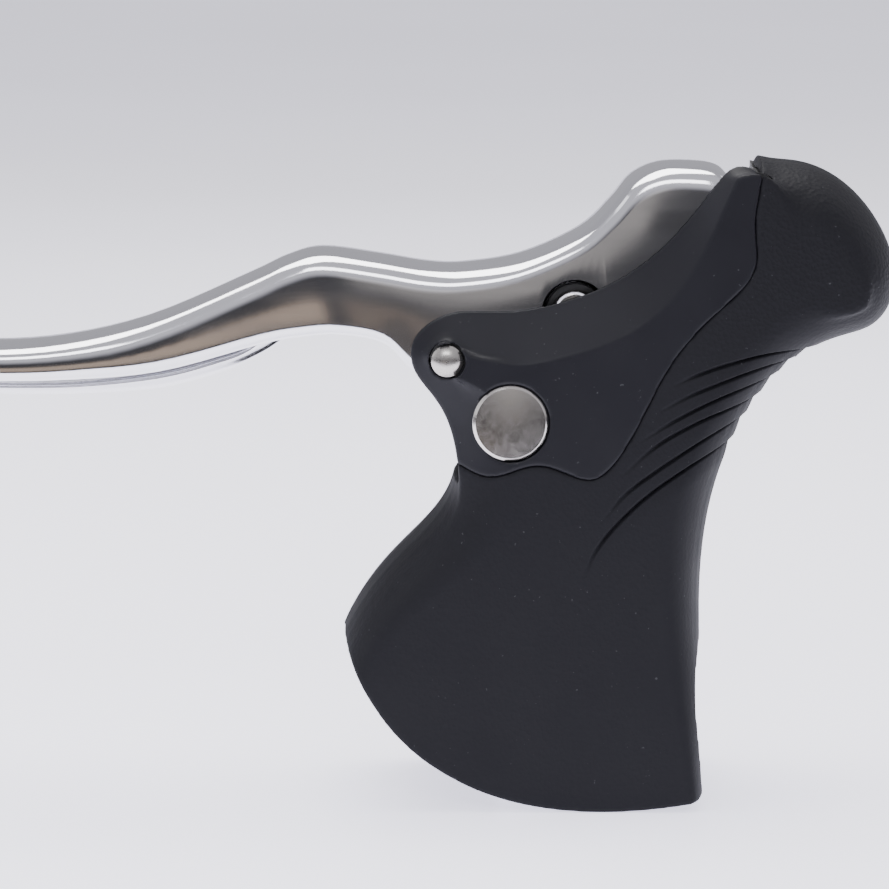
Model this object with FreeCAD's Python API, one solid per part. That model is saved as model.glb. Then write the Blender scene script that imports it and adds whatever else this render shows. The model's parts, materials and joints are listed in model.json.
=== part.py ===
import FreeCAD, Part

import math
import os

# Brake and shift lever for a drop handlebar, left hand, in millimetres.
# The origin is the centre of the handlebar clamp bore and X is the bore's axis.
# +Z points away from the bar, the finger blade points to -X, the outer side faces -Y.

# How far the cutters reach, past the whole lever
X_FAR = (-60.0, 80.0)
Y_FAR = 40.0
Z_FAR = 120.0

# Driving dimensions
BAR_R = 12.1
BAND_THICK = 0.9
BAND_LENGTH = 16.0
BAND_ROOM = 0.3
FLOOR_Z = -13.6
SHELL = 2.2
CLEAR = 0.4

# Envelope of hood and covers: half width at the rim, and how it narrows with height
BASE_HALF_WIDTH = 18.0
WIDTH_TAPER = 5.0 / 90.0
GRIP_ROUND = 8.0
RIM_ROUND = 3.0
GRIP_ROUND_FROM_Z = 32.0
FRONT_BEVEL = 8.0
BEVEL_START = 0.72
BEVEL_FADE_Z = (70.0, 88.0)
BEVEL_LEFT_AT_TOP = 0.3
COVER_FROM_Z = 34.0
COVER_BLEND = 4.0
SECTION_POINTS = 84
STATIONS = [0.0, 0.35, 0.55, 0.72, 0.79, 0.86, 0.91, 0.95, 0.98, 1.0]
TIGHTEST = 0.55

# Brake pivot, cap discs and cable anchor, as (x, z) on the lever's side
PIVOT = (-16.0, 58.4)
CAP = (-6.0, 48.7)
ANCHOR = (4.2, 65.5)

# Bracket body: the saddle's run on the bar, and the height of its legs
SADDLE_X = (-16.0, 22.0)
SADDLE_Z = (2.0, 20.0)
BAR_ROOM = 1.0
FRONT_GAP_X = -8.0
FRONT_GAP_Z = (38.5, 60.0)
INNER_TOP_X = (20.0, 33.0)
INNER_TOP_Z = 85.0

# Brake lever blade: a channel that opens towards the bar
CHEEK_OUT = 9.0
CHEEK_THICK = 2.5
CHEEK_IN = CHEEK_OUT - CHEEK_THICK
SLOT_HALF = CHEEK_OUT + CLEAR
EAR_OUT = 12.6
LOBE_SWEEP_R = 7.6

# Brake pivot pin, its bushes, its clip and the return spring's coil
PIN_R = 2.2
PIN_HEAD_R = 2.55
PIN_HEAD_HOLE_R = 2.8
PIN_HEAD_TOP = 14.0
BUSH_R = 3.2
BUSH_FLANGE_R = 4.2
BUSH_FLANGE_THICK = 0.6
RUNNING_FIT = 0.04
SPRING_COIL_R = (3.0, 4.2)
SPRING_SIDE_GAP = 1.2

# Cable anchor
ANCHOR_HOLE_R = 5.0
ANCHOR_BARREL_R = 3.5
ANCHOR_RING_INSET = 0.5
ANCHOR_BARREL_INSET = 0.2
BARREL_CHAMFER = 0.6
CABLE_HEAD_R = 2.2
CABLE_HEAD_FLOOR = 1.0
INNER_CABLE_WAY_R = 0.9

# Cap discs and the screws below them
CAP_R = 6.0
CAP_THICK = 1.2
CAP_PROUD = 0.1
CAP_CHAMFER = 0.4
CAP_POCKET_ROOM = 0.15
CAP_SCREW_R = 1.5
CAP_SCREW_HOLE_FROM = 7.0
CAP_SCREW_FROM = 7.2

# Shift paddle, hung on a pin inside the blade's channel
PADDLE_PIVOT_X = -38.0
PADDLE_PIN_R = 1.5
PADDLE_PIN_TOP = 73.5
PADDLE_ARM_HALF = 3.0
PADDLE_HUB = (63.5, 68.5)
PADDLE_TONGUE_Y = (-4.0, 5.0)
PADDLE_TONGUE_END_X = -46.5

# Winding mechanism, turning on an axle parallel to Z
WINDER_X = 9.2
AXLE_R = 2.0
AXLE_SEAT = 4.0
DRUM_R = 7.5
DRUM_BOTTOM = 28.0
DRUM_TOP = 37.0
DRUM_GROOVE_R = 1.0
RATCHET_TEETH = 20
RATCHET_ROOT_R = 7.8
RATCHET_TIP_R = 8.9
RATCHET_THICK = 2.0
FEED_THICK = 2.0
FEED_HUB_R = 4.0
FEED_ARM_HALF = 1.5
FEED_ARM_REACH = 9.4
FEED_PAWL_LENGTH = 4.0
FEED_PAWL_THICK = 1.2
PAWL_THICK = 1.6
PAWL_PIN_R = 1.2
PAWL_PIN_SEAT = 3.0
PAWL_HUB_R = 1.9
PAWL_TIP_GAP = 0.5
PAWL_TIP_ANGLE = math.radians(-78)
HOLD_PAWL_AT = (17.4, -8.6)

# Cavity for the mechanism, as x and z spans, and the plates that carry the axle
CAVITY_X = (-1.0, 19.6)
CAVITY_Z = (25.0, 45.0)
CAVITY_HALF = 11.0
PLATE_THICK = 1.0
PLATE_BOTTOMS = (26.3, 43.4)

# Housing stops, as (x, y), and the screw that sets the blade's rest
BRAKE_STOP_AT = (-10.5, 7.0)
BRAKE_WAY_TOP = 60.0
SHIFT_STOP_AT = (15.0, 7.0)
SHIFT_WAY_TOP = CAVITY_Z[0] + 1.0
STOP_R = 2.6
STOP_WALL = 0.5
STOP_FLOOR = 1.5
STOP_SPAN = (15.0, 21.0)
CABLE_WAY_R = 1.2
REACH_SCREW_AT = (2.0, 7.7)
REACH_SCREW_R = 1.25
REACH_SCREW_SPAN = (50.5, 57.9)

# Clamp band's lug, clamp screw and its square nut
LUG_HALF_X = 3.0
LUG_HALF_Y = 4.5
LUG_TOP = 17.0
BOLT_X = -5.0
BOLT_R = 2.0
BOLT_BOTTOM = 13.2
BOLT_HEAD_R = 2.4
BOLT_HEAD_Z = 24.0
BOLT_HEAD_HIGH = 3.0
BOLT_SOCKET_R = 1.3
BOLT_SOCKET_DEEP = 2.0
BOLT_ROOM = 0.2
NUT_HALF = 2.9
NUT_SPAN = (13.4, 15.6)


def vec(x, y, z):
    return FreeCAD.Vector(x, y, z)


X_AXIS = vec(1, 0, 0)
Y_AXIS = vec(0, 1, 0)
Z_AXIS = vec(0, 0, 1)


def box(x0, x1, y0, y1, z0, z1):
    return Part.makeBox(x1 - x0, y1 - y0, z1 - z0, vec(x0, y0, z0))


def rod_x(radius, x0, x1):
    return Part.makeCylinder(radius, x1 - x0, vec(x0, 0, 0), X_AXIS)


def rod_y(at, radius, y0, y1):
    return Part.makeCylinder(radius, y1 - y0, vec(at[0], y0, at[1]), Y_AXIS)


def rod_z(x, y, radius, z0, z1):
    return Part.makeCylinder(radius, z1 - z0, vec(x, y, z0), Z_AXIS)


def bore_y(at, radius):
    return rod_y(at, radius, -Y_FAR, Y_FAR)


def bore_z(x, y, radius):
    return rod_z(x, y, radius, 0, Z_FAR)


def side_rod(at, radius, side, near, far):
    """A rod along Y on one side of the lever, between two distances from its middle."""
    y0, y1 = sorted((side * near, side * far))
    return rod_y(at, radius, y0, y1)


def chamfered(shape, size, test):
    edges = [edge for edge in shape.Edges if test(edge)]
    return shape.makeChamfer(size, edges)


def largest(shape):
    return max(shape.Solids, key=lambda solid: solid.Volume)


def spline_edge(points):
    curve = Part.BSplineCurve()
    curve.interpolate(Points=[vec(x, 0, z) for x, z in points])
    return curve.toShape()


def line_edges(points):
    """Straight edges from each (x, z) point to the next."""
    return [Part.LineSegment(vec(a[0], 0, a[1]), vec(b[0], 0, b[1])).toShape()
            for a, b in zip(points, points[1:])]


def side_prism(edges, y0, y1):
    """Extrude a closed loop of edges, drawn in the XZ plane, from y0 to y1."""
    face = Part.Face(Part.Wire(edges))
    face.translate(vec(0, y0, 0))
    return face.extrude(vec(0, y1 - y0, 0))


def closed_side_prism(spline_points, straight_points, y0, y1):
    """A spline run closed by straight lines through the other points."""
    corners = [spline_points[-1]] + straight_points + [spline_points[0]]
    return side_prism([spline_edge(spline_points)] + line_edges(corners), y0, y1)


def share_between(value, low, high):
    """0 below low, 1 above high, straight in between."""
    return min(1.0, max(0.0, (value - low) / (high - low)))


def half_width(z):
    return BASE_HALF_WIDTH - WIDTH_TAPER * (z - FLOOR_Z)


# Envelope of hood and covers

BODY_OUTLINE = [
    (25.8, -20), (25.2, 8), (27, 36), (31.8, 48), (38.2, 56), (46, 60.5), (52.8, 63.2),
    (55.6, 69.6), (54, 76.8), (49.5, 83.4), (43.5, 87.7), (37, 89.2), (33, 89.6), (29.6, 90),
    (26.5, 87.2), (22.8, 82.2), (14, 72.9), (4, 68), (-8, 65.8), (-17, 65), (-21.9, 59.3),
    (-17.8, 51.8), (-14.9, 45), (-15, 38.3), (-18.4, 32), (-25, 25), (-31.5, 16), (-36.5, 0),
    (-30, -30), (-5, -44), (16, -40)]
SEAM = [
    (34.5, 95), (32.8, 85), (32.2, 79), (32.4, 73.8), (26, 65.8), (18.6, 57), (11.8, 44.3),
    (7, 39.8), (-1.4, 42), (-10, 40), (-15, 42), (-20, 43.2)]
RIM = [(-36.8, 24), (-32.5, 13), (-24.1, -1.2), (-10, -10.5), (8, FLOOR_Z), (27, -11.5)]


def body_samples():
    """Points of the outline with the outward normal and the deepest inset each can take."""
    curve = Part.BSplineCurve()
    curve.interpolate(Points=[vec(x, 0, z) for x, z in BODY_OUTLINE], PeriodicFlag=True)
    samples = []
    for point in curve.toShape().discretize(Number=SECTION_POINTS + 1)[:-1]:
        at = curve.parameter(point)
        tangent = curve.tangent(at)[0]
        normal = vec(tangent.z, 0, -tangent.x)
        centre = curve.centerOfCurvature(at)
        bulges = (centre - point).dot(normal) < 0
        radius = (centre - point).Length
        samples.append((point, normal, TIGHTEST * radius if bulges else math.inf))
    count = len(samples)
    deepest = [min(samples[(i + step) % count][2] for step in (-1, 0, 1)) for i in range(count)]
    return [(point, normal, depth) for (point, normal, _), depth in zip(samples, deepest)]


def back_rounding(z):
    """Radius of the rubber's long edges: tight at the rim, full along the grip."""
    share = share_between(z, FLOOR_Z, GRIP_ROUND_FROM_Z)
    return RIM_ROUND + share * (GRIP_ROUND - RIM_ROUND)


def front_bevel(z):
    """Width of the hard covers' bevel, which runs out towards the top."""
    fade = share_between(z, BEVEL_FADE_Z[0], BEVEL_FADE_Z[1])
    return FRONT_BEVEL * (1 - fade * (1 - BEVEL_LEFT_AT_TOP))


def on_cover(point):
    """1 where the outline runs along the hard cover, 0 on the rubber, blended between."""
    seam_low = vec(11, 0, 44)
    seam_high = vec(32, 0, 90)
    along = (seam_high - seam_low).normalize()
    across = vec(along.z, 0, -along.x).dot(point - seam_low)
    beside = 1 - share_between(across, -COVER_BLEND, COVER_BLEND)
    return beside * share_between(point.z, COVER_FROM_Z, COVER_FROM_Z + 2 * COVER_BLEND)


def envelope(shell):
    """Solid inside the outer skin, set in by the shell's thickness."""
    samples = body_samples()
    parameters = [i / len(samples) for i in range(len(samples) + 1)]
    wires = []
    for station in [-s for s in reversed(STATIONS[1:])] + STATIONS:
        side = abs(station)
        arc_depth = 1 - math.sqrt(1 - side * side)
        bevel_depth = share_between(side, BEVEL_START, 1.0)
        points = []
        for point, normal, deepest in samples:
            share = on_cover(point)
            bevel = front_bevel(point.z) * bevel_depth
            rounding = back_rounding(point.z) * arc_depth
            inset = shell + share * bevel + (1 - share) * rounding
            inner = point - normal * min(inset, max(deepest, shell))
            points.append(vec(inner.x, station * (half_width(inner.z) - shell), inner.z))
        curve = Part.BSplineCurve()
        curve.interpolate(Points=points, PeriodicFlag=True, Parameters=parameters)
        wires.append(Part.Wire([curve.toShape()]))
    loft = Part.makeLoft(wires, True, True)
    return loft.common(box(X_FAR[0], X_FAR[1], -Y_FAR, Y_FAR, FLOOR_Z, Z_FAR))


def seam_region():
    """Side view of the hard covers: everything on the lever's side of the seam."""
    front = X_FAR[0]
    return closed_side_prism(SEAM, [(front, SEAM[-1][1]), (front, SEAM[0][1])], -Y_FAR, Y_FAR)


def rim_cutter():
    """Below the rim: the skirt sweeps up on the lever's side."""
    front = X_FAR[0]
    below = [(RIM[-1][0], front), (front, front), (front, RIM[0][1])]
    return closed_side_prism(RIM, below, -Y_FAR, Y_FAR)


def bar_passage():
    """Room for the bar, notched through both ends of the skirt."""
    reach = BAR_R + BAR_ROOM
    notch = box(X_FAR[0], X_FAR[1], -reach, reach, -Y_FAR, 0)
    return notch.fuse(rod_x(reach, X_FAR[0], X_FAR[1]))


def front_gap():
    """Room between the covers, above the front of the skirt, for the blade's tail."""
    return box(X_FAR[0], FRONT_GAP_X, -SLOT_HALF, SLOT_HALF, FRONT_GAP_Z[0], FRONT_GAP_Z[1])


def inner_top_gap():
    """The inner side stops below the outer cover's top corner."""
    return box(INNER_TOP_X[0], INNER_TOP_X[1], 0, Y_FAR, INNER_TOP_Z, Z_FAR)


def blade_slot():
    """Room between the ears for the blade at rest and pulled."""
    floor_line = [(-30, 46), (-20, 51.5), (-12.5, 51.8), (-4, 55.5), (5, 57.6), (11, 59.5),
                  (17, 64.3), (23, 70.8), (28, 78), (31, 88)]
    above = [(floor_line[-1][0], Z_FAR), (X_FAR[0], Z_FAR), (X_FAR[0], floor_line[0][1])]
    slot = closed_side_prism(floor_line, above, -SLOT_HALF, SLOT_HALF)
    return slot.fuse(rod_y(PIVOT, LOBE_SWEEP_R, -SLOT_HALF, SLOT_HALF))


# Bracket body group

def saddle_room():
    """The saddle fits the bar, with a wider groove for the strap and its lug."""
    half = BAND_LENGTH / 2 + BAND_ROOM
    groove = rod_x(BAR_R + BAND_THICK + 0.1, -half, half)
    lug_x = LUG_HALF_X + BAND_ROOM
    lug_y = LUG_HALF_Y + BAND_ROOM
    lug = box(BOLT_X - lug_x, BOLT_X + lug_x, -lug_y, lug_y, BAR_R - 2, LUG_TOP + BAND_ROOM)
    return rod_x(BAR_R, X_FAR[0], X_FAR[1]).fuse(groove).fuse(lug)


def make_bracket(inner):
    saddle = box(SADDLE_X[0], SADDLE_X[1], -Y_FAR, Y_FAR, SADDLE_Z[0], SADDLE_Z[1])
    above = box(X_FAR[0], X_FAR[1], -Y_FAR, Y_FAR, SADDLE_Z[1], Z_FAR)
    body = inner.common(saddle.fuse(above)).cut(saddle_room()).cut(blade_slot())
    body = body.cut(inner_top_gap())
    body = body.cut(box(CAVITY_X[0], CAVITY_X[1], -Y_FAR, CAVITY_HALF, CAVITY_Z[0], CAVITY_Z[1]))
    body = body.cut(rod_z(WINDER_X, 0, AXLE_R, CAVITY_Z[0] - AXLE_SEAT, CAVITY_Z[1] + AXLE_SEAT))
    pawl_x, pawl_y = HOLD_PAWL_AT
    body = body.cut(rod_z(pawl_x, pawl_y, PAWL_PIN_R, CAVITY_Z[0] - PAWL_PIN_SEAT, CAVITY_Z[1]))
    body = body.cut(rod_z(BOLT_X, 0, BOLT_R + BOLT_ROOM, 0, BOLT_HEAD_Z))
    body = body.cut(rod_z(BOLT_X, 0, BOLT_HEAD_R + BOLT_ROOM, BOLT_HEAD_Z, Z_FAR))
    body = body.cut(bore_y(PIVOT, PIN_R))
    screw_x, screw_y = REACH_SCREW_AT
    body = body.cut(rod_z(screw_x, screw_y, REACH_SCREW_R, REACH_SCREW_SPAN[0], Z_FAR))
    for (x, y), way_top in ((BRAKE_STOP_AT, BRAKE_WAY_TOP), (SHIFT_STOP_AT, SHIFT_WAY_TOP)):
        body = body.cut(rod_z(x, y, STOP_R, 0, STOP_SPAN[1]))
        body = body.cut(rod_z(x, y, CABLE_WAY_R, STOP_SPAN[1], way_top))
    for side in (-1, 1):
        body = body.cut(side_rod(CAP, CAP_SCREW_R, side, CAP_SCREW_HOLE_FROM, Y_FAR))
    return largest(body)


def nut_box(half_x):
    return box(BOLT_X - half_x, BOLT_X + half_x, -NUT_HALF, NUT_HALF, NUT_SPAN[0], NUT_SPAN[1])


def make_clamp_band():
    half = BAND_LENGTH / 2
    lug = box(BOLT_X - LUG_HALF_X, BOLT_X + LUG_HALF_X, -LUG_HALF_Y, LUG_HALF_Y, BAR_R - 1, LUG_TOP)
    band = rod_x(BAR_R + BAND_THICK, -half, half).fuse(lug)
    band = band.cut(rod_x(BAR_R, X_FAR[0], X_FAR[1]))
    return band.cut(nut_box(2 * LUG_HALF_X)).cut(bore_z(BOLT_X, 0, BOLT_R)).removeSplitter()


def make_clamp_nut():
    return nut_box(NUT_HALF).cut(bore_z(BOLT_X, 0, BOLT_R))


def make_clamp_bolt():
    head_top = BOLT_HEAD_Z + BOLT_HEAD_HIGH
    bolt = rod_z(BOLT_X, 0, BOLT_R, BOLT_BOTTOM, BOLT_HEAD_Z)
    head = rod_z(BOLT_X, 0, BOLT_HEAD_R, BOLT_HEAD_Z, head_top)
    socket = rod_z(BOLT_X, 0, BOLT_SOCKET_R, head_top - BOLT_SOCKET_DEEP, head_top)
    return bolt.fuse(head).cut(socket).removeSplitter()


def cover(outer, inner, side):
    """One hard cover: the skin on its side of the blade slot, inside the seam."""
    y0, y1 = sorted((side * SLOT_HALF, side * Y_FAR))
    shell = outer.cut(inner).common(seam_region())
    shell = shell.common(box(X_FAR[0], X_FAR[1], y0, y1, 0, Z_FAR))
    shell = shell.cut(bore_y(PIVOT, PIN_HEAD_HOLE_R))
    pocket_floor = half_width(CAP[1]) - CAP_THICK
    shell = shell.cut(side_rod(CAP, CAP_R + CAP_POCKET_ROOM, side, pocket_floor, Y_FAR))
    return largest(shell.cut(bore_y(CAP, CAP_SCREW_R)).cut(inner_top_gap()))


def make_hood(outer, inner):
    hood = outer.cut(inner).cut(seam_region()).cut(rim_cutter()).cut(bar_passage())
    return largest(hood.cut(front_gap()))


def make_axle_cap(side):
    face = half_width(CAP[1]) + CAP_PROUD
    cap = side_rod(CAP, CAP_R, side, face - CAP_PROUD - CAP_THICK, face)

    def on_face(edge):
        centre = edge.BoundBox.Center
        return abs(centre.y - side * face) < CAP_PROUD and edge.BoundBox.XLength > CAP_R
    return chamfered(cap, CAP_CHAMFER, on_face)


def make_cap_screw(side):
    return side_rod(CAP, CAP_SCREW_R, side, CAP_SCREW_FROM, half_width(CAP[1]) - CAP_THICK)


def make_pivot_pin():
    """Head on the outer side, plain end that takes a clip on the inner side."""
    head = rod_y(PIVOT, PIN_HEAD_R, -PIN_HEAD_TOP, -EAR_OUT)
    return rod_y(PIVOT, PIN_R, -EAR_OUT, PIN_HEAD_TOP).fuse(head).removeSplitter()


def make_pivot_clip():
    ring = rod_y(PIVOT, PIN_HEAD_R, EAR_OUT, PIN_HEAD_TOP - CLEAR)
    return ring.cut(bore_y(PIVOT, PIN_R))


def make_housing_stop(at):
    """A ferrule with a seat for the housing below and a hole for the cable above."""
    x, y = at
    low, high = STOP_SPAN
    seat = rod_z(x, y, STOP_R - STOP_WALL, low, high - STOP_FLOOR)
    return rod_z(x, y, STOP_R, low, high).cut(seat).cut(rod_z(x, y, CABLE_WAY_R, low, high))


def make_reach_screw():
    x, y = REACH_SCREW_AT
    return rod_z(x, y, REACH_SCREW_R, REACH_SCREW_SPAN[0], REACH_SCREW_SPAN[1])


def make_return_spring():
    """Room taken by the torsion spring's coil round the pivot pin."""
    half = CHEEK_IN - SPRING_SIDE_GAP
    inner_r, outer_r = SPRING_COIL_R
    return rod_y(PIVOT, outer_r, -half, half).cut(rod_y(PIVOT, inner_r, -half, half))


# Brake lever group

def blade_outline():
    """Side view of the brake lever blade, as two splines and their end joints."""
    top = [(29.4, 85), (26.4, 88.5), (17.5, 88.7), (12.3, 85.4), (5.2, 78.2), (-4, 74),
           (-15, 72.4), (-27, 73.8), (-37, 75), (-47.5, 70.9), (-63.6, 64), (-80, 60.3),
           (-96, 59.9), (-112, 62.2), (-122, 64.6), (-126, 63)]
    bottom = [(-126, 63), (-124.5, 59.6), (-111, 55.8), (-95, 54.5), (-78, 54.4), (-63, 55.7),
              (-47.3, 59.8), (-34.5, 61.9), (-25.8, 60.4), (-21.6, 56), (-16, 52.3),
              (-8, 55.8), (4.2, 59), (12, 62.3), (22, 71.8), (29.4, 85)]
    return top, bottom


def blade_channel():
    """The hollow between the cheeks, below the blade's top web."""
    under_web = [(24, 83.5), (17.5, 84), (14, 82), (7, 75.2), (-3, 71), (-15, 69.6),
                 (-27, 71), (-36, 72), (-46.5, 67.9), (-62.5, 61.2), (-79.5, 57.6),
                 (-96, 57.2), (-110, 58.9)]
    below = [(under_web[-1][0], Y_FAR), (under_web[0][0], Y_FAR)]
    return closed_side_prism(under_web, below, -CHEEK_IN, CHEEK_IN)


def make_blade():
    top, bottom = blade_outline()
    body = side_prism([spline_edge(top), spline_edge(bottom)], -CHEEK_OUT, CHEEK_OUT)
    body = body.cut(blade_channel())
    body = body.cut(bore_y(PIVOT, BUSH_R)).cut(bore_y(ANCHOR, ANCHOR_HOLE_R))
    return body.cut(rod_z(PADDLE_PIVOT_X, 0, PADDLE_PIN_R, 0, PADDLE_PIN_TOP))


def make_pivot_bushes():
    """Two flanged bushes in the cheeks, one solid each."""
    flange_in = CHEEK_IN - BUSH_FLANGE_THICK
    bushes = []
    for side in (-1, 1):
        bush = side_rod(PIVOT, BUSH_R, side, flange_in, CHEEK_OUT)
        flange = side_rod(PIVOT, BUSH_FLANGE_R, side, flange_in, CHEEK_IN)
        bushes.append(bush.fuse(flange).cut(bore_y(PIVOT, PIN_R + RUNNING_FIT)))
    return Part.makeCompound(bushes)


def make_anchor_bushes():
    rings = []
    for side in (-1, 1):
        ring = side_rod(ANCHOR, ANCHOR_HOLE_R, side, CHEEK_IN, CHEEK_OUT - ANCHOR_RING_INSET)
        rings.append(ring.cut(bore_y(ANCHOR, ANCHOR_BARREL_R + RUNNING_FIT)))
    return Part.makeCompound(rings)


def make_anchor_barrel():
    x, z = ANCHOR
    end = CHEEK_OUT - ANCHOR_BARREL_INSET
    barrel = rod_y(ANCHOR, ANCHOR_BARREL_R, -end, end)
    barrel = chamfered(barrel, BARREL_CHAMFER, lambda edge: edge.BoundBox.YLength < BARREL_CHAMFER)
    head_seat = rod_z(x, 0, CABLE_HEAD_R, z - CABLE_HEAD_FLOOR, Z_FAR)
    return barrel.cut(head_seat).cut(rod_z(x, 0, INNER_CABLE_WAY_R, 0, z))


def make_paddle_pin():
    return rod_z(PADDLE_PIVOT_X, 0, PADDLE_PIN_R, PADDLE_HUB[0] - 1, PADDLE_PIN_TOP)


def make_paddle():
    """A tongue below the blade's lower edges, on an arm that rises into the channel."""
    top = [(-94, 53.2), (-84, 53.1), (-74, 53.4), (-62, 55), (-53, 57.3), (-47, 59.4)]
    bottom = [(-43, 58.6), (-48, 56.3), (-54, 54.1), (-64, 52), (-78, 51.2), (-94, 51.3)]
    rise = line_edges([top[-1], bottom[0]])
    end = line_edges([bottom[-1], top[0]])
    low_y, high_y = PADDLE_TONGUE_Y
    tongue = side_prism([spline_edge(top)] + rise + [spline_edge(bottom)] + end, low_y, high_y)
    tongue = tongue.cut(box(PADDLE_TONGUE_END_X, 0, -Y_FAR, Y_FAR, 0, Z_FAR))
    arm_side = [(-48, 57.4), (-44, 58.2), (-38, 63.5), (-38, 68.5), (-42, 67.5), (-48, 59)]
    arm = side_prism(line_edges(arm_side + arm_side[:1]), -PADDLE_ARM_HALF, PADDLE_ARM_HALF)
    hub = rod_z(PADDLE_PIVOT_X, 0, PADDLE_ARM_HALF, PADDLE_HUB[0], PADDLE_HUB[1])
    pin_hole = bore_z(PADDLE_PIVOT_X, 0, PADDLE_PIN_R + RUNNING_FIT)
    return tongue.fuse(arm).fuse(hub).cut(pin_hole).removeSplitter()


# Winding mechanism

def axle_hole():
    return bore_z(WINDER_X, 0, AXLE_R + RUNNING_FIT)


def make_winder_axle():
    return rod_z(WINDER_X, 0, AXLE_R, CAVITY_Z[0] - AXLE_SEAT, CAVITY_Z[1] + AXLE_SEAT)


def make_winder_drum():
    drum = rod_z(WINDER_X, 0, DRUM_R, DRUM_BOTTOM, DRUM_TOP)
    middle = vec(WINDER_X, 0, (DRUM_BOTTOM + DRUM_TOP) / 2)
    groove = Part.makeTorus(DRUM_R + 0.2, DRUM_GROOVE_R, middle, Z_AXIS)
    return drum.cut(groove).cut(axle_hole())


def make_ratchet_wheel():
    """Saw teeth: each flank rises from root to tip over one pitch, then drops."""
    points = []
    for tooth in range(RATCHET_TEETH):
        angle = 2 * math.pi * tooth / RATCHET_TEETH
        for radius in (RATCHET_TIP_R, RATCHET_ROOT_R):
            points.append(vec(WINDER_X + radius * math.cos(angle), radius * math.sin(angle), DRUM_TOP))
    wire = Part.makePolygon(points + points[:1])
    return Part.Face(wire).extrude(vec(0, 0, RATCHET_THICK)).cut(axle_hole())


def feed_lever_span():
    bottom = DRUM_TOP + RATCHET_THICK + CLEAR
    return bottom, bottom + FEED_THICK


def make_feed_lever():
    z0, z1 = feed_lever_span()
    hub = rod_z(WINDER_X, 0, FEED_HUB_R, z0, z1)
    arm = box(WINDER_X - FEED_ARM_HALF, WINDER_X + FEED_ARM_HALF, -FEED_ARM_REACH, 0, z0, z1)
    return hub.fuse(arm).cut(axle_hole()).removeSplitter()


def make_feed_pawl():
    """A short block on the feed lever's far end."""
    top = feed_lever_span()[1]
    far = -FEED_ARM_REACH
    return box(WINDER_X - FEED_ARM_HALF, WINDER_X + FEED_ARM_HALF, far, far + FEED_PAWL_LENGTH,
               top, top + FEED_PAWL_THICK)


def make_hold_pawl():
    """A finger from its pin to just outside the ratchet's tooth tips."""
    x, y = HOLD_PAWL_AT
    hub = rod_z(x, y, PAWL_HUB_R, DRUM_TOP, DRUM_TOP + PAWL_THICK)
    tip_r = RATCHET_TIP_R + PAWL_TIP_GAP
    tip_x = WINDER_X + tip_r * math.cos(PAWL_TIP_ANGLE)
    tip_y = tip_r * math.sin(PAWL_TIP_ANGLE)
    finger = [(x, y - 1.6), (x, y + 0.6), (tip_x, tip_y), (tip_x, tip_y - 1), (x, y - 1.6)]
    wire = Part.makePolygon([vec(px, py, DRUM_TOP) for px, py in finger])
    pawl = hub.fuse(Part.Face(wire).extrude(vec(0, 0, PAWL_THICK)))
    return pawl.cut(bore_z(x, y, PAWL_PIN_R + RUNNING_FIT)).removeSplitter()


def make_hold_pawl_pin():
    x, y = HOLD_PAWL_AT
    return rod_z(x, y, PAWL_PIN_R, CAVITY_Z[0] - PAWL_PIN_SEAT, DRUM_TOP + PAWL_THICK + 1)


def make_cartridge_plates():
    """The plates below and above the drum that carry its axle."""
    half = CAVITY_HALF - CLEAR
    holes = ((WINDER_X, 0, AXLE_R), HOLD_PAWL_AT + (PAWL_PIN_R,), SHIFT_STOP_AT + (CABLE_WAY_R,))
    plates = []
    for bottom in PLATE_BOTTOMS:
        plate = box(CAVITY_X[0] + CLEAR, CAVITY_X[1] - CLEAR, -half, half, bottom, bottom + PLATE_THICK)
        for x, y, radius in holes:
            plate = plate.cut(bore_z(x, y, radius))
        plates.append(plate)
    return Part.makeCompound(plates)


def main():
    outer = envelope(0.0)
    inner = envelope(SHELL)
    nodes = {
        "bracket_body": make_bracket(inner),
        "hood": make_hood(outer, inner),
        "side_cover_outer": cover(outer, inner, -1),
        "side_cover_inner": cover(outer, inner, 1),
        "clamp_band": make_clamp_band(),
        "clamp_bolt": make_clamp_bolt(),
        "clamp_nut": make_clamp_nut(),
        "brake_pivot_pin": make_pivot_pin(),
        "pivot_clip": make_pivot_clip(),
        "brake_return_spring": make_return_spring(),
        "brake_housing_stop": make_housing_stop(BRAKE_STOP_AT),
        "shift_housing_stop": make_housing_stop(SHIFT_STOP_AT),
        "reach_adjust_screw": make_reach_screw(),
        "cartridge_plates": make_cartridge_plates(),
        "axle_cap_outer": make_axle_cap(-1),
        "axle_cap_inner": make_axle_cap(1),
        "cap_screw_outer": make_cap_screw(-1),
        "cap_screw_inner": make_cap_screw(1),
        "brake_lever_blade": make_blade(),
        "pivot_bushes": make_pivot_bushes(),
        "anchor_bushes": make_anchor_bushes(),
        "cable_anchor_barrel": make_anchor_barrel(),
        "paddle_pivot_pin": make_paddle_pin(),
        "shift_paddle": make_paddle(),
        "winder_axle": make_winder_axle(),
        "winder_drum": make_winder_drum(),
        "ratchet_wheel": make_ratchet_wheel(),
        "feed_lever": make_feed_lever(),
        "feed_pawl": make_feed_pawl(),
        "hold_pawl": make_hold_pawl(),
        "hold_pawl_pin": make_hold_pawl_pin(),
    }
    os.makedirs("parts", exist_ok=True)
    for node, shape in nodes.items():
        shape.exportStep("parts/" + node + ".step")


main()
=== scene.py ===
import json
import math

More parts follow.
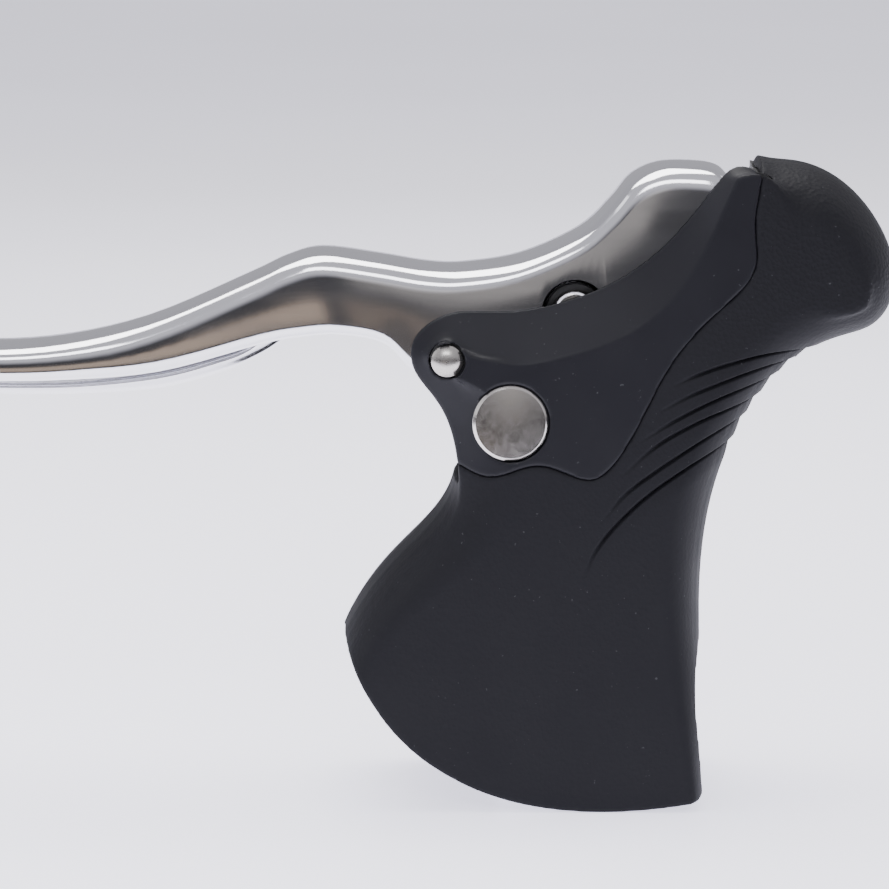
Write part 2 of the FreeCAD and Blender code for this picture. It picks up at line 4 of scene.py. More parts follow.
import bmesh
import bpy
import numpy as np
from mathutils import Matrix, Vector


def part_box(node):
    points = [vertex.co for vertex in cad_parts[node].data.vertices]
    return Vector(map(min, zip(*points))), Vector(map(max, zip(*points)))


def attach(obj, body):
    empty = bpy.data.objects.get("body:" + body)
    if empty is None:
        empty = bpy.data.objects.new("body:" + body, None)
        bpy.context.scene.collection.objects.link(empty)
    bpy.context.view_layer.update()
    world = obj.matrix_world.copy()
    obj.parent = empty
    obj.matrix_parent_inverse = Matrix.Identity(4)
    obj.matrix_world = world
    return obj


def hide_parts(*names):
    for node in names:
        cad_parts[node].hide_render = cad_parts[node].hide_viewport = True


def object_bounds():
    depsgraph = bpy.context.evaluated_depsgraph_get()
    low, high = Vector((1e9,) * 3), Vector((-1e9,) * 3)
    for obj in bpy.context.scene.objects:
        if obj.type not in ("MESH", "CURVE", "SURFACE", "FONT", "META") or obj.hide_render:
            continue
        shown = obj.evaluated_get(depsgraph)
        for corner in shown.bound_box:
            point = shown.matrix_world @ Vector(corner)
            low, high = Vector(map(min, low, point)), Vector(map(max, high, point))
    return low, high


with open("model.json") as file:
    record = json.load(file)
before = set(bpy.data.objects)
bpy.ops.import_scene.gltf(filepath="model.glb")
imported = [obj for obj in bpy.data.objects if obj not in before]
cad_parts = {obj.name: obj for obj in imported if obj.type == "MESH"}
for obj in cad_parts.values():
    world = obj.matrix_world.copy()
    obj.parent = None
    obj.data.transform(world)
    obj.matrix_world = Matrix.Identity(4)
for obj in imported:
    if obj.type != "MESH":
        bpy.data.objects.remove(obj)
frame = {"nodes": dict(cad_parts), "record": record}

CAD_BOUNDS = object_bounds()

MM = 0.001
NODES = frame["nodes"]
SIDES = ((-1, "outer"), (1, "inner"))


def side_centre(node):
    """The middle of a node on the lever's side view, as (x, z) in millimetres."""
    low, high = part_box(node)
    return ((low[0] + high[0]) / 2 / MM, (low[2] + high[2]) / 2 / MM)


PIVOT = side_centre("brake_pivot_pin")
CAP = side_centre("axle_cap_outer")
ANCHOR = side_centre("cable_anchor_barrel")

# Blade ribs from finger tip to knuckle: top (x, z), bottom (x, z), half width
BLADE_RIBS = [
    (-125.6, 63.4, -125.7, 61.6, 4.0), (-122.5, 64.6, -122.6, 58.9, 7.2),
    (-112, 62.2, -111.5, 55.9, 8.0), (-96, 59.9, -95.5, 54.5, 8.0),
    (-80, 60.3, -78.5, 54.3, 8.0), (-64, 63.9, -62, 55.7, 8.2),
    (-47.5, 70.9, -45.5, 60.2, 8.6), (-41.5, 73.7, -39, 61.4, 8.8),
    (-36, 75.0, -33, 61.8, 9.0), (-27, 73.9, -26, 60.4, 9.0),
    (-19, 72.6, -21.6, 56.2, 9.0), (-13, 72.5, -16, 52.6, 9.0),
    (-4, 74.0, -8, 55.9, 9.0), (5.2, 78.2, 3, 58.8, 9.0),
    (10, 82.8, 12, 62.5, 9.0), (13.2, 86.6, 18, 67.5, 9.0),
    (17.5, 88.6, 22, 71.8, 9.0), (23, 88.8, 25, 75.5, 9.0),
    (26.8, 88.2, 27.5, 79.0, 8.9), (28.9, 86.4, 29.0, 82.8, 8.3)]
CHEEK_THICK = 2.5
WEB_THICK = 2.6
TOP_ROUND = 3.4
LIP_ROUND = 2.1
CROWN = 0.7
CROWN_FULL_HEIGHT = 8
RIDGE_ROUND = 2.0
LIP_INSIDE_ROUND = 0.3
CHANNEL_FILLET = 1.0
LEAST_CHANNEL = 0.25
RIB_STEPS = 5
CORNER_STEPS = 7

# The channel closes to solid metal at the finger tip and at the end by the covers
SOLID_TIP_X = -108
SOLID_TIP_FADE = 6
SOLID_END_X = 22
SOLID_END_FADE = 3

# Hole for the anchor bushes, as (radius, y), opening out past the cheeks
ANCHOR_HOLE = [(0, -12), (6.6, -12), (5.0, -8.3), (5.0, 8.3), (6.6, 12), (0, 12)]

# Paddle ribs from free end to pivot: x, top z, bottom z, half width
PADDLE_RIBS = [
    (-93.8, 53.0, 51.8, 1.6), (-92.5, 53.2, 51.4, 4.0), (-84, 53.1, 51.2, 4.5),
    (-74, 53.4, 51.3, 4.5), (-62, 54.9, 52.2, 4.4), (-53, 57.2, 54.5, 4.0),
    (-47.5, 59.3, 56.7, 3.2), (-43, 64.0, 59.4, 2.9), (-38, 68.3, 63.8, 2.9),
    (-35.4, 67.6, 64.4, 1.4)]
PADDLE_RING_STEPS = 40
PADDLE_SQUARE_ACROSS = 0.6
PADDLE_SQUARE_UP = 0.7
PADDLE_KEEL = 0.55
PADDLE_OFFSET_Y = 0.4

# Skins made from the CAD solids: voxel in millimetres and rounds of smoothing
HOOD_VOXEL = 0.3
HOOD_SMOOTHING = 12
COVER_VOXEL = 0.25
COVER_SMOOTHING = 7

# The horn is smoothed more, from this corner on
HORN_X = 36.5
HORN_Z = 61
HORN_FADE = 4
HORN_SMOOTHING = 60

# Round holes in the covers
CAP_POCKET_R = 6.22
PIN_HOLE_R = 2.9
PAST_THE_SIDE = 30

# Hood grooves, from the back edge to the tail, as (x, z)
GROOVES = [
    [(43.5, 59.4), (35.5, 59.4), (29, 58.2), (23.6, 56.4), (19.5, 54.6)],
    [(39, 57.6), (34.8, 57.2), (29.1, 55.7), (22.8, 53.3), (17.2, 50.5)],
    [(36.4, 55.2), (30.9, 53.8), (25.2, 51.8), (19.7, 49), (14.4, 45.8)],
    [(34, 52), (27.8, 50.3), (22.9, 48.5), (17, 45.1), (11.3, 40.2)],
    [(32.5, 49), (27.4, 47.2), (22.5, 44.7), (17.1, 41.2), (12, 37.3), (8.1, 32.7)],
    [(31, 45.4), (25.5, 43.3), (19.8, 40.2), (14.8, 36.5), (10.1, 31.9), (7.2, 27.9), (5.4, 23.8)]]
GROOVE_SLIT_DEPTH = 1.25
GROOVE_SLIT_HALF = 0.36
GROOVE_RAMP_DEPTH = 0.75
GROOVE_RAMP = 2.6
GROOVE_END = 0.7
GROOVE_FINE = 1.1
GROOVE_CURVE_STEPS = 24
GROOVE_TAIL = 0.3
GROOVE_SHAPE_POWER = 1.5
GROOVE_SLIT_FADE = 0.5
GROOVED_FROM_X = 4
GROOVED_Z = (20, 62)

# How far a normal points to the side, or to the back, on the hood's outer skin
OUTER_SKIN_SIDE = 0.12
OUTER_SKIN_BACK = 0.3

# Pivot pin: domed head on the outer side, plain end on the inner side
PIN_HEAD_R = 2.5
PIN_SHANK_R = 2.2
PIN_END_Y = 14.0
PIN_DOME = 0.9
PIN_DOME_POWER = 2.4
PIN_DOME_STEPS = 6

# Caps, crowned a little and tilted with the covers, because the lever narrows with height
CAP_R = 6.0
CAP_FACE_R = 5.5
CAP_CROWN = 0.17
SIDE_TAPER = 5.0 / 90.0

# Anchor barrel and the rings of its bushes
BARREL_END = 8.75
BARREL_PROFILE = [(1.6, 0.7), (2.0, 0), (2.9, 0), (3.5, 0.6)]
BUSH_RING = [(3.58, 6.6), (3.58, 8.35), (3.75, 8.5), (4.5, 8.5), (4.7, 8.1), (4.7, 6.6)]

# Return spring round the pivot pin
SPRING_TURNS = 7
SPRING_STEPS_PER_TURN = 36
SPRING_WIRE_R = 0.55
SPRING_WIRE_STEPS = 10
SPRING_R = 3.6
SPRING_REACH = 4.6

# Camera, in millimetres
LOOK_AT = Vector((-16.4, 0.0, 42.84))
CAMERA_DISTANCE = 600.0
CAMERA_ELEVATION = math.radians(10)
LENS = 150.6
CLIP_END = 50

# Floor, in millimetres
FLOOR_FRONT = -200.0
FLOOR_SIZE = 6000

# Area lights: name, place, target, size, power and colour, in metres and watts.
# The last four are what the polished metal mirrors.
LIGHTS = [
    ("key_above", (-0.15, 0.2, 0.9), (0, 0, 0.05), (0.9, 0.7), 13.0, (1, 0.99, 0.98)),
    ("front_fill", (-0.1, -1.2, 0.9), (0, 0, 0.05), (0.8, 0.4), 5.0, (0.97, 0.97, 1)),
    ("fill_left", (-0.9, -0.1, 0.45), (0, 0, 0.05), (0.5, 0.6), 1.2, (0.97, 0.98, 1)),
    ("rim_right", (0.7, 0.35, 0.5), (0.02, 0, 0.05), (0.4, 0.5), 0.9, (1, 1, 1)),
    ("warm_table", (-0.165, -0.62, -0.055), (-0.06, 0, 0.06), (0.15, 0.06), 0.0125, (1, 0.76, 0.56)),
    ("warm_strip", (-0.04, -0.62, -0.05), (-0.03, 0, 0.06), (0.014, 0.09), 0.0012, (1, 0.74, 0.52)),
    ("far_window", (-0.27, -0.62, -0.04), (-0.11, 0, 0.06), (0.04, 0.05), 0.006, (0.95, 0.97, 1)),
    ("cap_card", (0.004, -0.62, 0.095), (0.004, 0, 0.05), (0.07, 0.16), 0.011, (1, 0.94, 0.88))]

# Floor and room. Mirrors see a dim room: its light low and high in front, and behind.
FLOOR_WHITE = (0.88, 0.88, 0.9)
# Colour of the floor's glow: painted light, brighter in front than behind
FLOOR_PAINTED_GLOW = (0.83, 0.82, 1, 1)
ROOM_COLOUR = (0.93, 0.92, 1.0, 1)
ROOM_FRONT = (0.06, 0.7)
ROOM_BEHIND = 0.5
DAYLIGHT_COLOUR = (0.92, 0.91, 1.0, 1)
DAYLIGHT = 0.9

# Colours of the two black materials, each with its dust
RUBBER_BLACK = (0.011, 0.011, 0.0135)
RUBBER_DUST = (0.045, 0.045, 0.05)
PLASTIC_BLACK = (0.0105, 0.0105, 0.014)
PLASTIC_DUST = (0.05, 0.05, 0.056)


# Mesh helpers

def smooth_line(points, steps):
    """Catmull-Rom through the rows of points, any number of columns."""
    p = np.array(points, dtype=float)
    p = np.vstack([2 * p[0] - p[1], p, 2 * p[-1] - p[-2]])
    out = []
    for i in range(1, len(p) - 2):
        for k in range(steps):
            t = k / steps
            out.append(0.5 * (2 * p[i] + (p[i + 1] - p[i - 1]) * t
                              + (2 * p[i - 1] - 5 * p[i] + 4 * p[i + 1] - p[i + 2]) * t * t
                              + (3 * p[i] - p[i - 1] - 3 * p[i + 1] + p[i + 2]) * t ** 3))
    out.append(p[-2])
    return np.array(out)


def new_object(name, vertices, faces):
    """A linked mesh object, from vertices in millimetres."""
    mesh = bpy.data.meshes.new(name)
    mesh.from_pydata([tuple(v * MM for v in vertex) for vertex in vertices], [], faces)
    mesh.update()
    obj = bpy.data.objects.new(name, mesh)
    bpy.context.scene.collection.objects.link(obj)
    tidy_normals(obj, 35)
    return obj


def tidy_normals(obj, angle):
    """Normals outward and smooth shading, with edges over the angle left sharp."""
    bm = bmesh.new()
    bm.from_mesh(obj.data)
    bmesh.ops.recalc_face_normals(bm, faces=bm.faces)
    for face in bm.faces:
        face.smooth = True
    for edge in bm.edges:
        edge.smooth = edge.calc_face_angle(0.0) < math.radians(angle)
    bm.to_mesh(obj.data)
    bm.free()


def bake_modifiers(obj):
    """Turn the modifiers' result into the object's own mesh."""
    depsgraph = bpy.context.evaluated_depsgraph_get()
    mesh = bpy.data.meshes.new_from_object(obj.evaluated_get(depsgraph))
    obj.modifiers.clear()
    obj.data = mesh


def rings_to_object(name, rings):
    """Join closed rings of equal length into a skin, with one face on each end."""
    count = len(rings[0])
    vertices = [point for ring in rings for point in ring]
    faces = []
    for r in range(len(rings) - 1):
        for k in range(count):
            a = r * count + k
            b = r * count + (k + 1) % count
            faces.append((a, b, b + count, a + count))
    faces.append(tuple(range(count))[::-1])
    faces.append(tuple(range((len(rings) - 1) * count, len(rings) * count)))
    return new_object(name, vertices, faces)


def turned(name, centre, profile, steps=96):
    """Revolve a profile of (radius, y) about the Y axis through centre."""
    vertices = []
    faces = []
    for radius, y in profile:
        for k in range(steps):
            angle = 2 * math.pi * k / steps
            vertices.append((centre[0] + radius * math.cos(angle), y,
                             centre[1] + radius * math.sin(angle)))
    for r in range(len(profile)):
        nxt = (r + 1) % len(profile)
        for k in range(steps):
            j = (k + 1) % steps
            faces.append((r * steps + k, r * steps + j, nxt * steps + j, nxt * steps + k))
    obj = new_object(name, vertices, faces)
    bm = bmesh.new()
    bm.from_mesh(obj.data)
    bmesh.ops.remove_doubles(bm, verts=bm.verts, dist=1e-7)
    bmesh.ops.recalc_face_normals(bm, faces=bm.faces)
    bm.to_mesh(obj.data)
    bm.free()
    tidy_normals(obj, 25)
    return obj


def add_smoothing(obj, rounds, group=""):
    smooth = obj.modifiers.new("soften", "SMOOTH")
    smooth.factor = 0.5
    smooth.iterations = rounds
    smooth.vertex_group = group


def shade_smooth(mesh):
    for polygon in mesh.polygons:
        polygon.use_smooth = True


def cut_away(obj, cutter):
    """Cut a closed shape out of the object and remove the cutter."""
    cut = obj.modifiers.new("cut", "BOOLEAN")
    cut.object = cutter
    cut.solver = "EXACT"
    bake_modifiers(obj)
    bpy.data.objects.remove(cutter)


def remeshed(name, node, voxel, smoothing):
    """A copy of a CAD node with an even skin and softened edges."""
    obj = NODES[node].copy()
    obj.data = NODES[node].data.copy()
    obj.name = name
    obj.data.name = name
    obj.data.materials.clear()
    bpy.context.scene.collection.objects.link(obj)
    obj.parent = None
    remesh = obj.modifiers.new("skin", "REMESH")
    remesh.mode = "VOXEL"
    remesh.voxel_size = voxel * MM
    add_smoothing(obj, smoothing)
    bake_modifiers(obj)
    shade_smooth(obj.data)
    return obj


# Materials

def map_range(nodes, links, value, source, target, interpolation="LINEAR"):
    """A node that maps the source range of a value to the target range."""
    node = nodes.new("ShaderNodeMapRange")
    node.interpolation_type = interpolation
    for key, number in zip(("From Min", "From Max", "To Min", "To Max"), (*source, *target)):
        node.inputs[key].default_value = number
    links.new(value, node.inputs["Value"])
    return node.outputs["Result"]


class Paint:
    """A principled material with short names for the nodes that vary it."""

    def __init__(self, name, colour, metallic=0.0, roughness=0.5):
        self.material = bpy.data.materials.new(name)
        self.material.use_nodes = True
        self.nodes = self.material.node_tree.nodes
        self.links = self.material.node_tree.links
        self.shader = self.nodes["Principled BSDF"]
        self.shader.inputs["Base Color"].default_value = (*colour, 1)
        self.shader.inputs["Metallic"].default_value = metallic
        self.shader.inputs["Roughness"].default_value = roughness
        self.position = self.nodes.new("ShaderNodeTexCoord").outputs["Object"]
        self.normal = None

    def stretched(self, scale):
        mapping = self.nodes.new("ShaderNodeMapping")
        mapping.inputs["Scale"].default_value = scale
        self.links.new(self.position, mapping.inputs["Vector"])
        return mapping.outputs["Vector"]

    def noise(self, scale, detail=3, stretch=None):
        node = self.nodes.new("ShaderNodeTexNoise")
        node.inputs["Scale"].default_value = scale
        node.inputs["Detail"].default_value = detail
        self.links.new(self.stretched(stretch) if stretch else self.position, node.inputs["Vector"])
        return node.outputs["Fac"]

    def cells(self, scale):
        node = self.nodes.new("ShaderNodeTexVoronoi")
        node.inputs["Scale"].default_value = scale
        self.links.new(self.position, node.inputs["Vector"])
        return node.outputs["Distance"]

    def ramp(self, value, low, high, out_low, out_high):
        return map_range(self.nodes, self.links, value, (low, high), (out_low, out_high))

    def along(self, axis, low, high, out_low, out_high):
        """A value that changes with the place on an axis, in metres."""
        split = self.nodes.new("ShaderNodeSeparateXYZ")
        self.links.new(self.position, split.inputs["Vector"])
        return self.ramp(split.outputs[axis], low, high, out_low, out_high)

    def product(self, share, value):
        node = self.nodes.new("ShaderNodeMath")
        node.operation = "MULTIPLY"
        self.links.new(share, node.inputs[0])
        self.links.new(value, node.inputs[1])
        return node.outputs["Value"]

    def roughness(self, value):
        self.links.new(value, self.shader.inputs["Roughness"])

    def colour(self, value, first, second):
        node = self.nodes.new("ShaderNodeMix")
        node.data_type = "RGBA"
        node.inputs["A"].default_value = (*first, 1)
        node.inputs["B"].default_value = (*second, 1)
        self.links.new(value, node.inputs["Factor"])
        self.links.new(node.outputs["Result"], self.shader.inputs["Base Color"])

    def bump(self, height, strength, distance):
        node = self.nodes.new("ShaderNodeBump")
        node.inputs["Strength"].default_value = strength
        node.inputs["Distance"].default_value = distance * MM
        self.links.new(height, node.inputs["Height"])
        if self.normal:
            self.links.new(self.normal, node.inputs["Normal"])
        self.normal = node.outputs["Normal"]
        self.links.new(self.normal, self.shader.inputs["Normal"])


def hood_rubber():
    """Black rubber: leather grain on the horn, fainter on the trunk, a little dust."""
    paint = Paint("hood_rubber", RUBBER_BLACK, roughness=0.6)
    paint.shader.inputs["Specular IOR Level"].default_value = 0.13
    grain = paint.product(paint.along("Z", 0.058, 0.07, 0.3, 1.0), paint.cells(1500))
    paint.bump(grain, 0.6, 0.16)
    paint.bump(paint.noise(420, 4), 0.08, 0.08)
    paint.roughness(paint.ramp(paint.noise(60, 5), 0.3, 0.7, 0.54, 0.68))
    paint.colour(paint.ramp(paint.noise(1400, 2), 0.73, 0.77, 0, 1), RUBBER_BLACK, RUBBER_DUST)
    return paint.material


def cover_plastic():
    """Black moulded plastic with a fine satin texture and a little dust."""
    paint = Paint("cover_plastic", PLASTIC_BLACK, roughness=0.45)
    paint.shader.inputs["Specular IOR Level"].default_value = 0.2
    paint.bump(paint.noise(2600, 3), 0.22, 0.04)
    paint.roughness(paint.ramp(paint.noise(90, 5), 0.3, 0.7, 0.38, 0.5))
    paint.colour(paint.ramp(paint.noise(1300, 2), 0.72, 0.78, 0, 1), PLASTIC_BLACK, PLASTIC_DUST)
    return paint.material


def polished(name, colour, low, high, along):
    """Polished metal with faint draw lines along the given stretch."""
    paint = Paint(name, colour, metallic=1.0, roughness=low)
    paint.roughness(paint.ramp(paint.noise(300, 4, along), 0.3, 0.7, low, high))
    paint.bump(paint.noise(250, 2, along), 0.02, 0.02)
    return paint.material


def turned_steel(name, colour, roughness):
    """Plain metal with small differences in its gloss."""
    paint = Paint(name, colour, metallic=1.0, roughness=roughness)
    paint.roughness(paint.ramp(paint.noise(1200, 3), 0.3, 0.7, roughness - 0.03, roughness + 0.04))
    paint.bump(paint.noise(2200, 2), 0.02, 0.01)
    return paint.material


def moulded(name, colour, roughness):
    """Moulded nylon with a light texture."""
    paint = Paint(name, colour, roughness=roughness)
    paint.roughness(paint.ramp(paint.noise(300, 4), 0.3, 0.7, roughness - 0.08, roughness + 0.08))
    paint.bump(paint.noise(1800, 2), 0.2, 0.05)
    return paint.material


MATERIALS = {
    "hood_rubber": hood_rubber(),
    "cover_plastic": cover_plastic(),
    "blade_aluminium": polished("blade_aluminium", (0.84, 0.84, 0.87), 0.08, 0.14, (0.08, 1, 1)),
    "paddle_metal": polished("paddle_metal", (0.82, 0.82, 0.85), 0.14, 0.2, (0.08, 1, 1)),
    "cap_metal": turned_steel("cap_metal", (0.66, 0.63, 0.6), 0.2),
    "pin_steel": turned_steel("pin_steel", (0.5, 0.48, 0.45), 0.27),
    "barrel_steel": turned_steel("barrel_steel", (0.7, 0.69, 0.67), 0.22),
    "band_steel": turned_steel("band_steel", (0.58, 0.58, 0.59), 0.32),
    "screw_steel": turned_steel("screw_steel", (0.3, 0.3, 0.31), 0.35),
    "plate_steel": turned_steel("plate_steel", (0.5, 0.5, 0.5), 0.36),
    "spring_steel": turned_steel("spring_steel", (0.34, 0.34, 0.35), 0.3),
    "bracket_nylon": moulded("bracket_nylon", (0.02, 0.02, 0.021), 0.5),
    "bush_black": moulded("bush_black", (0.012, 0.012, 0.012), 0.35),
    "drum_nylon": moulded("drum_nylon", (0.05, 0.05, 0.05), 0.45),
}


def dress(obj, slot, body, *replaced):
    """Material, slot, body and the CAD nodes a piece stands for, in one place."""
    obj.data.materials.clear()
    obj.data.materials.append(MATERIALS[slot])
    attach(obj, body)
    if replaced:
        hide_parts(*replaced)


# Hood

def groove_frame(points, line):
    """For each (x, z) point: its row on the line, side (above is positive) and overshoot."""
    tangent = np.gradient(line, axis=0)
    tangent /= np.linalg.norm(tangent, axis=1)[:, None]
    apart = ((points[:, None, :] - line[None, :, :]) ** 2).sum(axis=2)
    near = apart.argmin(axis=1)
    offset = points - line[near]
    side = offset[:, 0] * tangent[near, 1] - offset[:, 1] * tangent[near, 0]
    beyond = np.abs((offset * tangent[near]).sum(axis=1))
    return near / (len(line) - 1), side, beyond


def groove_push(points, lines):
    """How deep the skin is pressed in: a slit on each line and a ramp that fades below it."""
    depth = np.zeros(len(points))
    for line in lines:
        along, side, beyond = groove_frame(points, line)
        slit = np.clip(1 - np.abs(side) / GROOVE_SLIT_HALF, 0, 1)
        ramp = np.clip(1 + side / GROOVE_RAMP, 0, 1) ** GROOVE_SHAPE_POWER * (side < 0)
        fade = np.clip((1 - along) / GROOVE_TAIL, 0, 1) * np.clip(1 - beyond / GROOVE_END, 0, 1)
        push = GROOVE_SLIT_DEPTH * slit * (1 - GROOVE_SLIT_FADE * along)
        push += GROOVE_RAMP_DEPTH * ramp * (1 - along) ** GROOVE_SHAPE_POWER
        depth = np.maximum(depth, push * fade)
    return depth


def vertex_array(mesh, key):
    """One row of three numbers for each vertex."""
    values = np.empty(len(mesh.vertices) * 3)
    mesh.vertices.foreach_get(key, values)
    return values.reshape(-1, 3)


def groove_candidates(mesh):
    """Vertices of the outer skin in the grooved part of the grip."""
    position = vertex_array(mesh, "co")
    normal = vertex_array(mesh, "normal")
    sideways = normal[:, 1] * np.sign(position[:, 1])
    outward = (sideways > OUTER_SKIN_SIDE) | (normal[:, 0] > OUTER_SKIN_BACK)
    height = position[:, 2] / MM
    region = (position[:, 0] / MM > GROOVED_FROM_X) & (height > GROOVED_Z[0]) & (height < GROOVED_Z[1])
    return position, normal, np.nonzero(outward & region)[0]


def refine_near_grooves(mesh, lines):
    """Split the edges beside the grooves, so that the slits stay crisp."""
    position, _, pick = groove_candidates(mesh)
    close = np.zeros(len(position), dtype=bool)
    for line in lines:
        _, side, beyond = groove_frame(position[pick][:, [0, 2]] / MM, line)
        close[pick] |= (np.abs(side) < GROOVE_FINE) & (beyond < GROOVE_FINE)
    bm = bmesh.new()
    bm.from_mesh(mesh)
    bm.verts.ensure_lookup_table()
    edges = [edge for edge in bm.edges if close[edge.verts[0].index] and close[edge.verts[1].index]]
    bmesh.ops.subdivide_edges(bm, edges=edges, cuts=1, use_grid_fill=True)
    bm.to_mesh(mesh)
    bm.free()
    mesh.update()


def soften_horn(obj):
    """Even out the horn behind the seam, where the rubber is fullest."""
    position = vertex_array(obj.data, "co") / MM
    behind_seam = np.clip((position[:, 0] - HORN_X) / HORN_FADE, 0, 1)
    weight = behind_seam * np.clip((position[:, 2] - HORN_Z) / HORN_FADE, 0, 1)
    group = obj.vertex_groups.new(name="horn")
    for index in np.nonzero(weight > 0)[0]:
        group.add([int(index)], float(weight[index]), "REPLACE")
    add_smoothing(obj, HORN_SMOOTHING, group.name)
    bake_modifiers(obj)


def make_hood():
    """The hood's even skin with a softer horn and the grooves pressed in."""
    hood = remeshed("hood_skin", "hood", HOOD_VOXEL, HOOD_SMOOTHING)
    soften_horn(hood)
    mesh = hood.data
    lines = [smooth_line(groove, GROOVE_CURVE_STEPS) for groove in GROOVES]
    refine_near_grooves(mesh, lines)
    position, normal, pick = groove_candidates(mesh)
    depth = groove_push(position[pick][:, [0, 2]] / MM, lines)
    position[pick] -= normal[pick] * depth[:, None] * MM
    mesh.vertices.foreach_set("co", position.ravel())
    mesh.update()
    shade_smooth(mesh)
    dress(hood, "hood_rubber", "bracket", "hood")


# Side covers

def cut_round(obj, centre, radius, y0, y1):
    """Cut a true round hole along Y."""
    profile = [(0, y0), (radius, y0), (radius, y1), (0, y1)]
    cut_away(obj, turned("round_cutter", centre, profile))


def make_covers():
    """Both covers, with round pockets for the caps and holes for the pivot pin."""
    for side, name in SIDES:
        cover = remeshed("cover_" + name, "side_cover_" + name, COVER_VOXEL, COVER_SMOOTHING)
        low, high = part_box("axle_cap_" + name)
        pocket_floor = side * min(abs(low[1]), abs(high[1])) / MM
        cut_round(cover, CAP, CAP_POCKET_R, pocket_floor, side * PAST_THE_SIDE)
        cut_round(cover, PIVOT, PIN_HOLE_R, 0, side * PAST_THE_SIDE)
        dress(cover, "cover_plastic", "bracket", "side_cover_" + name)


# Brake lever blade

def rounded_corner(before, corner, after, radius):
    """Points of a round corner between two straight runs, all as (y, height)."""
    a = (Vector(before) - Vector(corner)).normalized()
    b = (Vector(after) - Vector(corner)).normalized()
    start = Vector(corner) + a * radius
    end = Vector(corner) + b * radius
    points = []
    for k in range(CORNER_STEPS + 1):
        t = k / CORNER_STEPS
        points.append(start * (1 - t) ** 2 + Vector(corner) * 2 * t * (1 - t) + end * t * t)
    return points


def blade_section(height, half, web):
    """Channel section: rounded back, flat cheeks and turned lips, open below."""
    inside = half - min(CHEEK_THICK, half * 0.6)
    depth = max(LEAST_CHANNEL, height - web)
    shoulder = height - CROWN * min(1.0, height / CROWN_FULL_HEIGHT)
    top_round = min(TOP_ROUND, height * 0.45, half * 0.6)
    lip_round = min(LIP_ROUND, height * 0.3, (half - inside) * 0.84)
    lip_inside = min(LIP_INSIDE_ROUND, depth * 0.4)
    fillet = min(CHANNEL_FILLET, depth * 0.4)
    corners = [
        ((-half, 0), lip_round), ((-half, shoulder), top_round), ((0, height), RIDGE_ROUND),
        ((half, shoulder), top_round), ((half, 0), lip_round), ((inside, 0), lip_inside),
        ((inside, depth), fillet), ((-inside, depth), fillet), ((-inside, 0), lip_inside)]
    points = []
    for i, (corner, radius) in enumerate(corners):
        before = corners[i - 1][0]
        after = corners[(i + 1) % len(corners)][0]
        points += rounded_corner(before, corner, after, radius)
    return points


def make_blade():
    """The blade, lofted through its ribs, with the round hole for the anchor."""
    rings = []
    for top_x, top_z, low_x, low_z, half in smooth_line(BLADE_RIBS, RIB_STEPS):
        low = Vector((low_x, low_z))
        up = Vector((top_x, top_z)) - low
        height = up.length
        up.normalize()
        closed = max(0.0, (SOLID_TIP_X - top_x) / SOLID_TIP_FADE, (top_x - SOLID_END_X) / SOLID_END_FADE)
        web = WEB_THICK + min(1.0, closed) * height
        rings.append([(low.x + up.x * h, y, low.y + up.y * h)
                      for y, h in blade_section(height, half, web)])
    blade = rings_to_object("blade_skin", rings)
    cut_away(blade, turned("hole_cutter", ANCHOR, ANCHOR_HOLE))
    tidy_normals(blade, 32)
    dress(blade, "blade_aluminium", "brake_lever", "brake_lever_blade")


# Shift paddle

def squarer(value, power):
    """Turn a circle's sine or cosine into that of a rounded square."""
    return math.copysign(abs(value) ** power, value)


def make_paddle():
    """A slim tongue under the blade, with its arm rising to the pin in the channel."""
    rings = []
    for x, high, low, half in smooth_line(PADDLE_RIBS, RIB_STEPS):
        centre = (high + low) / 2
        tall = (high - low) / 2
        ring = []
        for k in range(PADDLE_RING_STEPS):
            angle = 2 * math.pi * k / PADDLE_RING_STEPS
            across = squarer(math.cos(angle), PADDLE_SQUARE_ACROSS)
            upward = squarer(math.sin(angle), PADDLE_SQUARE_UP)
            keel = PADDLE_KEEL + (1 - PADDLE_KEEL) * (1 + upward) / 2
            ring.append((x, PADDLE_OFFSET_Y + half * across * keel, centre + tall * upward))
        rings.append(ring)
    paddle = rings_to_object("paddle_skin", rings)
    dress(paddle, "paddle_metal", "shift_paddle", "shift_paddle")


# Small turned pieces

def make_pivot_pin():
    """The pin with its domed head, whose edge is a little wider than the dome."""
    dome = []
    for step in range(PIN_DOME_STEPS + 1):
        share = step / PIN_DOME_STEPS
        dome.append((share * PIN_HEAD_R, -PIN_END_Y + PIN_DOME * share ** PIN_DOME_POWER))
    profile = dome + [(PIN_HEAD_R + 0.05, -PIN_END_Y + 1.2), (PIN_SHANK_R, -PIN_END_Y + 1.4),
                      (PIN_SHANK_R, PIN_END_Y - 0.3), (PIN_SHANK_R - 0.3, PIN_END_Y), (0, PIN_END_Y)]
    dress(turned("pivot_pin_skin", PIVOT, profile), "pin_steel", "bracket", "brake_pivot_pin")


def make_caps():
    """Both caps, each a crowned disc with a narrow bevel."""
    low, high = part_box("axle_cap_outer")
    face = -low[1] / MM
    back = -high[1] / MM
    for side, name in SIDES:
        crown = [(radius, side * (face - CAP_CROWN * (radius / CAP_FACE_R) ** 2))
                 for radius in (0, 1, 2, 3, 4, 5, CAP_FACE_R)]
        profile = crown + [(CAP_R - 0.05, side * (face - 0.5)), (CAP_R, side * (face - 0.6)),
                           (CAP_R, side * back), (0, side * back)]
        cap = turned("cap_" + name, CAP, profile)
        for vertex in cap.data.vertices:
            vertex.co.y -= side * SIDE_TAPER * (vertex.co.z - CAP[1] * MM)
        dress(cap, "cap_metal", "bracket", "axle_cap_" + name)


